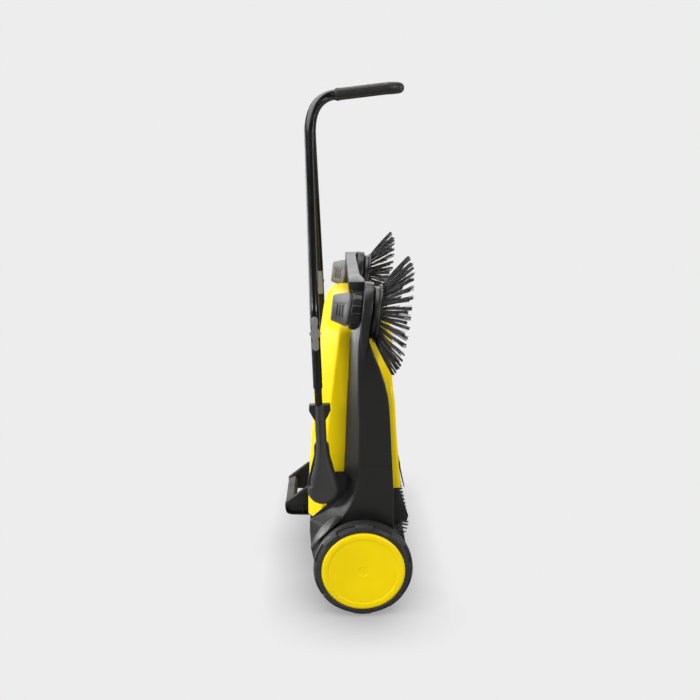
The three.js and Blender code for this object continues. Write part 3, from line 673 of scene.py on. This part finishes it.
def make_side_frames():
    pair("side_shell", side_shell(), BLACK, "chassis", "black_shell", ["side_frame_{}"])
    pair("brush_arm", brush_arm(), BLACK, "chassis", "black_shell", bevel=2.5 * MM)
    floor, boss = pivot_recess()
    pair("pivot_recess", floor, BLACK, "chassis", "black_shell", bevel=0.8 * MM)
    pair("pivot_boss", boss, BLACK, "chassis", "black_shell")
    pair("wheel_arch", wheel_arch(), BLACK, "chassis", "black_shell")


# ---------------------------------------------------------------- chassis between the side frames
def lifting_handle():
    """Two cheeks with an open channel along their lower edge, and a bar between them with a ribbed pad."""
    outside = np.vstack([
        [(-134.3, 128)],
        spline([(-172, 128.6), (-194, 130), (-206, 136), (-210, 150)], 6),
        [(-210, 165), (-150, 212), (-142, 212), (-142, 203), (-134.3, 200)],
    ])
    channel = np.vstack([
        [(-134.3, 160), (-196, 157)],
        spline([(-203, 155), (-206.5, 150), (-203, 139), (-192, 133)], 5),
        [(-134.3, 131.5)],
    ])
    cheek = merged(
        slab(outside * MM, 83 * MM, 86.5 * MM),
        slab(np.vstack([outside, channel]) * MM, 86 * MM, 95 * MM),
        slab(np.array([(-161, 131), (-158, 131), (-158, 160), (-161, 160)]) * MM, 86 * MM, 93 * MM),
    )
    bar = np.array([
        (-205, 131), (-186, 131), (-181, 140), (-181, 160), (-188, 170), (-206, 164), (-210, 150),
    ])
    pad_section = np.array([(-210.6, 152), (-207.4, 165.4), (-188.4, 172), (-180.2, 160.6), (-181, 152)])
    middle = pad_section.mean(axis=0)
    rings = []
    for i, y in enumerate(np.linspace(-80, 80, 121)):
        ridge = (1.0, 0.94, 0.94)[i % 3]
        ring = rounded((middle + (pad_section - middle) * ridge) * MM, 2 * MM, 3)
        rings.append(upright_ring(ring, y * MM))
    return merged(cheek, mirrored(cheek)), slab(bar * MM, -84 * MM, 84 * MM), lofted(rings)


def make_chassis():
    softened("roller_hood", "roller_housing", BLACK, "chassis", "black_shell", 1.2 * MM)
    softened("parking_skid", "parking_foot", BLACK, "chassis", "black_shell", 3 * MM)
    cheeks, bar, pad = lifting_handle()
    piece("lifting_cheeks", cheeks, BLACK, "chassis", "black_shell", ["carry_handle"], bevel=1 * MM)
    piece("lifting_bar", bar, BLACK, "chassis", "black_shell", bevel=3 * MM)
    piece("lifting_pad", pad, PAD, "chassis", "soft_rubber")
    softened("cross_bow", "front_bow", BLACK, "chassis", "black_shell", 1.8 * MM)
    softened("rear_flap", "dust_flap", RUBBER, "chassis", "soft_rubber", 0.6 * MM, 2)
    for side in SIDES:
        softened(f"roller_skirt_{side}", f"side_skirt_{side}", RUBBER, "chassis", "soft_rubber", 0.7 * MM, 2)


# ---------------------------------------------------------------- wheels
def tyre():
    radius = (high("tyre_left")[2] - low("tyre_left")[2]) / 2
    inner, outer = low("tyre_left")[1], high("tyre_left")[1]
    rim = 104.3 * MM
    line = soft_profile([
        (rim, inner), (radius - 9 * MM, inner), (radius - 1.5 * MM, inner + 9 * MM),
        (radius, inner + 17 * MM), (radius, outer - 13 * MM),
        (radius - 1.5 * MM, outer - 8 * MM), (radius - 5.5 * MM, outer - 1.5 * MM),
        (radius - 12 * MM, outer), (rim + 1.5 * MM, outer), (rim, outer - 1.5 * MM), (rim, inner),
    ], 2.5 * MM, 4)
    sides = 384
    angles = np.linspace(0, 2 * math.pi, sides, endpoint=False)
    notches = 8
    phase = (angles / (2 * math.pi) * notches + 0.02) % 1.0
    in_notch = np.clip((0.27 - np.abs(phase - 0.5)) / 0.02, 0, 1)
    rings = []
    for r, y in line[:-1]:
        near_tread = np.clip((r - (rim + 7 * MM)) / (3 * MM), 0, 1)
        near_face = np.clip((y - (outer - 12 * MM)) / (4 * MM), 0, 1)
        cut = in_notch * (near_tread * near_face)
        ring_r = r - 4.2 * MM * cut
        ring_y = y - 4.4 * MM * cut
        rings.append(np.stack([ring_r * np.cos(angles), ring_y, ring_r * np.sin(angles)], axis=1))
    verts = np.concatenate([np.broadcast_to(ring, (sides, 3)) for ring in rings])
    return transformed((verts, grid_faces(len(rings), sides, wrap_rows=True)), WHEEL_FRAME)


def hub_cap():
    face = high("hub_cap_left")[1]
    rim = (high("hub_cap_left")[2] - low("hub_cap_left")[2]) / 2
    profile = soft_profile([
        (0, face - 3 * MM), (12 * MM, face - 3 * MM), (13 * MM, face - 2.2 * MM), (86 * MM, face - 1.9 * MM),
        (88.5 * MM, face - 0.2 * MM), (rim - 5 * MM, face), (rim, face - 3 * MM), (rim, face - 6 * MM),
    ], 1.2 * MM, 4)
    return transformed(turned(profile, 160), shift(WHEEL_AXIS[0], 0, WHEEL_AXIS[2]) @ rotation("X", -90))


def make_wheels():
    pair("tyre_tread", tyre(), TYRE, "wheel_{}", "tyre_rubber", ["tyre_{}"])
    pair("hub_cover", hub_cap(), YELLOW, "wheel_{}", "yellow_shell", ["hub_cap_{}"])


# ---------------------------------------------------------------- handle
# In the handle frame the fold's pivot is the origin and local Z runs up the tubes. The lower tubes and the
# loop's feet stand TUBE_SIDE from the middle. Outlines are written in mm.
TUBE_SIDE = 360
LOOP_RADIUS, LOWER_RADIUS = 11 * MM, 9 * MM
GRIP_START = 61 * MM
GRIP_RADIUS, GRIP_COLLAR_RADIUS, GRIP_END_RADIUS = 13.2, 14.4, 11.4


def bezier(points, steps):
    """A cubic curve from its four control points."""
    a, b, c, d = np.asarray(points, float)
    t = np.linspace(0, 1, steps)[:, None]
    return (1 - t) ** 3 * a + 3 * t * (1 - t) ** 2 * b + 3 * t * t * (1 - t) * c + t ** 3 * d


def loop_side():
    """Half of the handle loop's centre line, in the handle frame, from the sleeve's foot to the middle."""
    foot = np.linspace((0, TUBE_SIDE, 259), (0, TUBE_SIDE, 430), 10)
    kink = spline([(0, TUBE_SIDE, 430), (0, 357.5, 450), (0, 349, 470)], 6)
    rise = np.linspace((0, 349, 470), (0, 158, 840), 24)
    bend = bezier([(0, 158, 840), (0, 132, 891), (14, 54, 931), (60, 32, 940)], 26)
    run = np.linspace((60, 32, 940), (204, 31, 952), 22)
    corner = bezier([(204, 31, 952), (221, 31, 952), (235, 17, 952), (235, 0, 952)], 12)
    return np.vstack([foot[:-1], kink[:-1], rise[:-1], bend[:-1], run[:-1], corner]) * MM


def handle_loop():
    half = loop_side()
    other = half[::-1][1:].copy()
    other[:, 1] *= -1
    return np.vstack([half, other])


def grip_sleeve(path):
    """Foam round the loop's top, with a raised collar at each end."""
    on_grip = path[path[:, 0] > GRIP_START]
    count = len(on_grip)
    steps_to_end = np.minimum(np.arange(count), np.arange(count)[::-1])
    size = np.where(steps_to_end < 2, GRIP_COLLAR_RADIUS, GRIP_RADIUS)
    size = np.where(steps_to_end < 1, GRIP_END_RADIUS, size) * MM
    return transformed(swept(on_grip, size, 36), HANDLE_FRAME)


def make_handle():
    path = handle_loop()
    loop = transformed(swept(path, LOOP_RADIUS, 32), HANDLE_FRAME)
    piece("handle_tube", loop, TUBE, "handle_upper", "tube_paint", ["handle_loop"])
    piece("grip_sleeve", grip_sleeve(path), FOAM, "handle_upper", "grip_foam", ["handle_grip"])

    lower = np.linspace((0, TUBE_SIDE, 160), (0, TUBE_SIDE, 420), 12) * MM
    lower_tube = transformed(swept(lower, LOWER_RADIUS, 28), HANDLE_FRAME)
    pair("inner_tube", lower_tube, TUBE, "handle_lower", "tube_paint", ["lower_tube_{}"])

    outline = rounded(np.array([(-9, 343), (9, 343), (9, 357), (-9, 357)]) * MM, 3 * MM, 4)
    saddle = transformed(prism(outline, 358 * MM, 431 * MM), HANDLE_FRAME)
    pair("tube_saddle", saddle, GREY, "handle_upper", "grey_knob", ["clamp_saddle_{}"], bevel=1.5 * MM)
    make_brackets()
    make_wing_knobs()


def drawn_in(outline, top, distance, share=1.0):
    """Moves an outline towards its centre line, from the pivot up to the neck's top, without crossing it."""
    foot = np.clip(outline[:, 1], 0, top)
    spine = np.stack([2 * MM * foot / top, foot], axis=1)
    away = outline - spine
    reach = np.linalg.norm(away, axis=1)
    kept = np.maximum(reach - distance, reach * (1 - share))
    return spine + away * (kept / np.maximum(reach, 1e-9))[:, None]


def make_brackets():
    """Teardrop brackets with a wide bevel and a dished face, on a plate with a collar for the tube."""
    top = 217.5 * MM
    right_edge = spline([(34, 11), (29.5, 35), (21.5, 66), (16, 98), (14, 135), (14, 180), (14, 217.5)], 8)
    left_edge = right_edge[::-1] * (-1, 1) + (4, 0)
    outline = np.vstack([arc((0, 0), 36, 161, 378, 48), right_edge[1:], left_edge[:-1]]) * MM
    # distance from the middle, how far the outline is drawn in, and the largest share it may lose
    steps = (
        (352, 0, 1), (366, 0, 1), (368, 0.5, 1), (370.5, 2.2, 0.7), (372.8, 4.8, 0.7),
        (374.4, 7.6, 0.7), (375, 9.4, 0.7), (374.9, 11.5, 0.8), (373.6, 19, 0.9), (373, 28, 0.97),
    )
    rings = [upright_ring(drawn_in(outline, top, inset * MM, share), y * MM) for y, inset, share in steps]
    arm = transformed(lofted(rings), HANDLE_FRAME)
    pair("pivot_arm", arm, BRACKET, "handle_lower", "black_shell", ["pivot_bracket_{}"])

    shoulder = np.vstack([
        arc((0, 0), 38, 165, 372, 40),
        [(34, 30), (21, 88), (20, 112), (15, 122), (15, 186)],
        [(-11, 186), (-11, 122), (-16, 112), (-17, 88), (-33, 30)],
    ]) * MM
    plate = transformed(slab(shoulder, 348 * MM, 361 * MM), HANDLE_FRAME)
    pair("pivot_plate", plate, BLACK, "handle_lower", "black_shell", bevel=2 * MM)
    sleeve = np.array([
        (-22, 219), (-23.5, 214), (-23.5, 203), (-12, 180), (16, 180), (27.5, 203), (27.5, 214), (26, 219),
    ]) * MM
    collar = transformed(slab(sleeve, 350 * MM, 367 * MM), HANDLE_FRAME)
    pair("tube_collar", collar, BLACK, "handle_lower", "black_shell", bevel=2.2 * MM)


def make_wing_knobs():
    """Two wings that meet in a diamond, on a short hub."""
    half = [(6, 12), (8, 24), (7.5, 34), (3, 38.5)]
    upper = np.array([(13.5, 0)] + half + [(-x, z) for x, z in reversed(half)] + [(-13.5, 0)])
    wing = rounded(np.vstack([upper, -upper[1:-1]]) * MM, 2.5 * MM, 3)
    blades = slab(wing, 376 * MM, 388 * MM)
    for vert in blades[0]:
        if vert[1] > 380 * MM:
            vert[1] -= 5 * MM * (1 - min(abs(vert[2]) / (14 * MM), 1))
    hub_profile = np.array([(0, 371.5), (9.5, 371.5), (9.5, 382), (6, 385), (0, 385)]) * MM
    hub = transformed(turned(soft_profile(hub_profile, 1.5 * MM), 32), rotation("X", -90))
    knob = transformed(merged(blades, hub), HANDLE_FRAME @ shift(0, 0, 395 * MM))
    pair("wing_grip", knob, GREY, "wing_{}", "grey_knob", ["wing_knob_{}"], bevel=1.2 * MM)


# ---------------------------------------------------------------- side brushes
def height_knob():
    """A tapered knob with a slotted recess on two sides to grip."""
    profile = soft_profile(np.array([
        (0, -80), (27, -80.5), (31.5, -78.5), (41.5, -43.5),
        (41.3, -41), (39, -40.4), (39, -36.8), (0, -36.8),
    ]) * MM, 3 * MM, 5)
    recess_middle, recess_depth = -61 * MM, 2 * MM
    slot_pitch, slot_depth = 6.5, 3.4 * MM

    def dished(angle, r, z):
        twice = angle * 2 + math.pi
        across = math.degrees(abs(math.atan2(math.sin(twice), math.cos(twice)))) / 2
        along = (z - recess_middle) / MM
        edge = min(np.clip((33 - across) / 4, 0, 1), np.clip((14 - abs(along)) / 3, 0, 1))
        on_slot = abs(along / slot_pitch - round(along / slot_pitch)) < 0.24
        slotted = on_slot and abs(along) < 9 and across < 24
        return r - recess_depth * edge - (slot_depth if slotted else 0.0)

    return turned(refined(profile, 20 * MM, 40), 240, dished)


def fluted_collar():
    """A ring with raised flutes round its outside."""
    profile = soft_profile(np.array([
        (12.5, -36.2), (42, -36.2), (45.5, -34), (45.5, -12), (44, -10.4), (12.5, -10.4),
    ]) * MM, 1.5 * MM, 4)
    flutes, height = 16, 1.9 * MM

    def fluted(angle, r, z):
        if r < 41 * MM or z < -31 * MM:
            return r
        wave = abs(((angle / (2 * math.pi) * flutes) % 1.0) - 0.5) * 2
        return r + height * np.clip((wave - 0.72) / 0.12, 0, 1)

    return turned(refined(profile, 15 * MM, 6), 288, fluted)


def brush_disc():
    """A drum with a wide rim that holds the tufts, and a hub behind it."""
    back = [(0, -4), (20, -4), (20, 14.2), (24, 15), (60, 15.2), (62.5, 17), (64, 26), (69, 28), (70, 31)]
    front = [(70, 36), (67, 36.4), (64, 33), (40, 32.5), (16, 32), (14, 34), (10, 34), (9.5, 31), (0, 31)]
    profile = soft_profile(np.array(back + front) * MM, 1.2 * MM, 3)
    return turned(profile, 128)


def strands(roots, tips, radius, droop, steps=4):
    """Thin curved strands of four sides each, with the number of points that one strand has."""
    count, sides = len(roots), 4
    t = np.linspace(0, 1, steps + 1)
    path = roots[:, None] * (1 - t)[None, :, None] + tips[:, None] * t[None, :, None]
    path += droop[:, None] * (t * (1 - t) * 4)[None, :, None]
    tangent = tips - roots
    tangent /= np.linalg.norm(tangent, axis=1)[:, None]
    helper = np.where(np.abs(tangent[:, 2:]) < 0.9, [[0.0, 0.0, 1.0]], [[1.0, 0.0, 0.0]])
    u = np.cross(tangent, helper)
    u /= np.linalg.norm(u, axis=1)[:, None]
    v = np.cross(tangent, u)
    angles = np.linspace(0, 2 * math.pi, sides, endpoint=False)
    circle = np.cos(angles)[None, :, None] * u[:, None] + np.sin(angles)[None, :, None] * v[:, None]
    taper = radius * (1 - 0.35 * t)
    verts = path[:, :, None] + circle[:, None] * taper[None, :, None, None]
    verts = verts.reshape(-1, 3)
    per = (steps + 1) * sides
    base = np.array(grid_faces(steps + 1, sides))
    faces = (base[None] + (np.arange(count) * per)[:, None, None]).reshape(-1, 4)
    tip_cap = (np.arange(count) * per + steps * sides)[:, None] + np.arange(sides)[None]
    root_cap = (np.arange(count) * per)[:, None] + np.arange(sides)[None, ::-1]
    return verts, np.concatenate([faces, tip_cap, root_cap]), per


def bristle_piece(name, verts, faces, per, body, replaces):
    """One piece made of strands, each with its own random tone. per is the number of points in a strand."""
    mesh = bpy.data.meshes.new(name)
    mesh.from_pydata(verts.tolist(), [], faces.tolist())
    mesh.materials.append(BRISTLE)
    tones = np.repeat(rng.random(len(verts) // per) ** 3, per)
    attribute = mesh.attributes.new("tone", "FLOAT", "POINT")
    attribute.data.foreach_set("value", tones.astype(np.float32))
    mesh.shade_smooth()
    mounted(name, mesh, body, replaces)


def side_brush_strands():
    """Two rows of splayed tufts round the disc's rim, the inner row half a step round from the outer."""
    tufts, root_z = 34, 32
    roots, tips, droop = [], [], []
    for root_r, tip_r, tip_z, per_tuft, offset in ((66, 144, 86, 26, 0.0), (58, 129, 95, 24, 0.5)):
        for k in range(tufts):
            angle = 2 * math.pi * (k + offset) / tufts
            lean = rng.normal(0, 0.012)
            for _ in range(per_tuft):
                spot = rng.normal(0, 1.2, 2) * MM
                spread = rng.normal(0, 0.022)
                reach = tip_r * MM * (1 - abs(rng.normal(0, 0.008)))
                height = tip_z * MM + rng.normal(0, 1.2) * MM
                radial = np.array([math.cos(angle), math.sin(angle), 0.0])
                tangent = np.array([-math.sin(angle), math.cos(angle), 0.0])
                root = radial * (root_r * MM + spot[0]) + tangent * spot[1] + [0, 0, root_z * MM]
                aim = angle + lean + spread
                tip = np.array([math.cos(aim) * reach, math.sin(aim) * reach, height])
                roots.append(root)
                tips.append(tip)
                droop.append(rng.normal(0, 0.6, 3) * MM + [0, 0, -1.5 * MM])
    return strands(np.array(roots), np.array(tips), 0.68 * MM, np.array(droop))


def make_side_brushes():
    knob = transformed(height_knob(), BRUSH_FRAME)
    collar = transformed(fluted_collar(), BRUSH_FRAME)
    disc = transformed(brush_disc(), BRUSH_FRAME)
    pair("knob_cap", knob, GREY, "knob_{}", "grey_knob", ["height_knob_{}"])
    pair("collar_ring", collar, BLACK, "chassis", "black_shell", ["adjust_collar_{}"])
    pair("brush_plate", disc, BLACK, "side_brush_{}", "black_shell", ["brush_disc_{}"])
    verts, faces, per = side_brush_strands()
    verts = moved(verts, BRUSH_FRAME)
    for side in SIDES:
        placed = verts if side == "left" else verts * (1, -1, 1)
        turned_faces = faces if side == "left" else faces[:, ::-1]
        bristle_piece(f"brush_tufts_{side}", placed, turned_faces, per, f"side_brush_{side}",
                      [f"brush_bristles_{side}"])


# ---------------------------------------------------------------- main roller
def make_roller():
    """Tufts wound round the core, turn behind turn."""
    half = 272 * MM
    root_radius, tip_radius = 25 * MM, 74.6 * MM
    per_turn, turns, per_tuft = 44, 24, 9
    roots, tips, droop = [], [], []
    for k in range(per_turn * turns):
        y = half * (2 * (k + 0.5) / (per_turn * turns) - 1)
        angle = 2 * math.pi * k / per_turn
        for _ in range(per_tuft):
            aim = angle + rng.normal(0, 0.02)
            side_step = rng.normal(0, 1.6) * MM
            reach = tip_radius * (1 - abs(rng.normal(0, 0.01)))
            roots.append([math.cos(angle) * root_radius, y, -math.sin(angle) * root_radius])
            tips.append([math.cos(aim) * reach, y + side_step, -math.sin(aim) * reach])
            droop.append(rng.normal(0, 0.5, 3) * MM)
    verts, faces, per = strands(np.array(roots), np.array(tips), 0.75 * MM, np.array(droop), steps=2)
    verts = verts + [ROLLER_AXIS[0], 0, ROLLER_AXIS[2]]
    bristle_piece("roller_tufts", verts, faces, per, "main_roller", ["roller_bristles"])


# ---------------------------------------------------------------- hidden pieces keep their CAD shape
CARRIED = {
    INNER_BLACK: ["inner_plate", "wheel_hub", "wheel_gear", "roller_pinion"],
    GREY: ["belt_guide", "brush_carrier"],
    RUBBER: ["side_belt"],
    STEEL: ["stub_axle", "pivot_bolt", "roller_bearing", "brush_screw"],
}


def paint_carried_nodes():
    for material, names in CARRIED.items():
        for name in names:
            for side in SIDES:
                mesh = frame["nodes"][f"{name}_{side}"].data
                mesh.materials.clear()
                mesh.materials.append(material)
    core = frame["nodes"]["roller_core"].data
    core.materials.clear()
    core.materials.append(INNER_BLACK)


# ---------------------------------------------------------------- studio
def studio_paper():
    """Paper that the camera sees as one pale glowing tone with a painted contact shadow, darkened by ambient
    occlusion, and other rays see as dull grey.
    """
    n = Nodes("studio_paper")
    path = n.add("LightPath")
    # Painted contact shadow: the ambient occlusion factor darkens the paper's glow near the machine, in place
    # of a cast shadow.
    painted_shadow_ao = n.add("AmbientOcclusion", {"samples": 16}, Distance=0.17)
    shade = n.ranged(painted_shadow_ao.outputs["AO"], 0.35, 0.847, 0.35, 1.0)
    tone = n.mixed(1.0, (0.0, 0.0, 0.0, 1.0), shade)
    seen = n.add("Emission", Color=tone, Strength=1.0)
    n.set(Base_Color=(0.28, 0.28, 0.28, 1), Roughness=0.9, Specular_IOR_Level=0.1)
    blend = n.tree.nodes.new("ShaderNodeMixShader")
    n.tree.links.new(path.outputs["Is Camera Ray"], blend.inputs[0])
    n.tree.links.new(n.shader.outputs[0], blend.inputs[1])
    n.tree.links.new(seen.outputs[0], blend.inputs[2])
    n.tree.links.new(blend.outputs[0], n.tree.nodes["Material Output"].inputs["Surface"])
    return n.material


def softbox(name, position, target, size, power):
    light = bpy.data.lights.new(name, "AREA")
    light.shape = "RECTANGLE"
    light.size, light.size_y = size
    light.energy = power
    obj = bpy.data.objects.new(name, light)
    obj.location = position
    obj.rotation_euler = (Vector(target) - Vector(position)).to_track_quat("-Z", "Y").to_euler()
    obj.visible_camera = False
    bpy.context.scene.collection.objects.link(obj)


def make_studio():
    near, far, bend, top, half_width = -6.0, 3.0, 2.5, 9.0, 9.0
    curve = [(far + bend * math.sin(a), bend - bend * math.cos(a)) for a in np.linspace(0.1, math.pi / 2, 16)]
    sweep = [(near, 0.0), (far, 0.0)] + curve + [(far + bend, top)]
    verts = [(x, y, z) for y, z in sweep for x in (-half_width, half_width)]
    faces = [(2 * i, 2 * i + 1, 2 * i + 3, 2 * i + 2) for i in range(len(sweep) - 1)]
    mesh = bpy.data.meshes.new("studio_floor")
    mesh.from_pydata(verts, [], faces)
    mesh.shade_smooth()
    mesh.materials.append(studio_paper())
    floor = bpy.data.objects.new("studio_floor", mesh)
    bpy.context.scene.collection.objects.link(floor)

    world = bpy.data.worlds.new("studio_world")
    world.use_nodes = True
    background = world.node_tree.nodes["Background"]
    background.inputs["Color"].default_value = (1, 1, 1, 1)
    background.inputs["Strength"].default_value = 0.09
    bpy.context.scene.world = world

    middle = (0, 0, 0.6)
    softbox("top_softbox", (-0.4, 0.3, 3.1), middle, (3.0, 2.2), 80)
    softbox("left_softbox", (-3.2, -0.6, 1.2), middle, (0.35, 2.6), 26)
    softbox("left_back_strip", (-2.8, 1.7, 0.75), (0, 0, 0.4), (1.4, 2.4), 85)
    softbox("front_left_key", (-2.9, -2.5, 1.9), middle, (1.3, 1.6), 105)
    softbox("front_right_key", (2.7, -2.5, 1.8), middle, (1.3, 1.6), 85)
    softbox("right_strip", (2.9, 1.2, 1.2), middle, (0.3, 2.6), 20)
    softbox("back_card", (-0.2, 3.0, 2.0), (0, 0, 0.8), (3.2, 1.3), 40)


def make_camera():
    """The photograph's camera: its distance, height, tilt and slight pan."""
    tilt_down, pan = 14.351, 1.225
    camera = bpy.data.cameras.new("photo_camera")
    camera.sensor_width = 36
    camera.lens = 39.6
    obj = bpy.data.objects.new("photo_camera", camera)
    obj.location = (-0.0694, -2.10, 1.124)
    obj.rotation_euler = (math.radians(90 - tilt_down), 0, math.radians(-pan))
    bpy.context.scene.collection.objects.link(obj)
    bpy.context.scene.camera = obj
    bpy.context.scene.view_settings.view_transform = "Standard"


make_hopper()
make_side_frames()
make_chassis()
make_wheels()
make_handle()
make_side_brushes()
make_roller()
paint_carried_nodes()
make_studio()
make_camera()
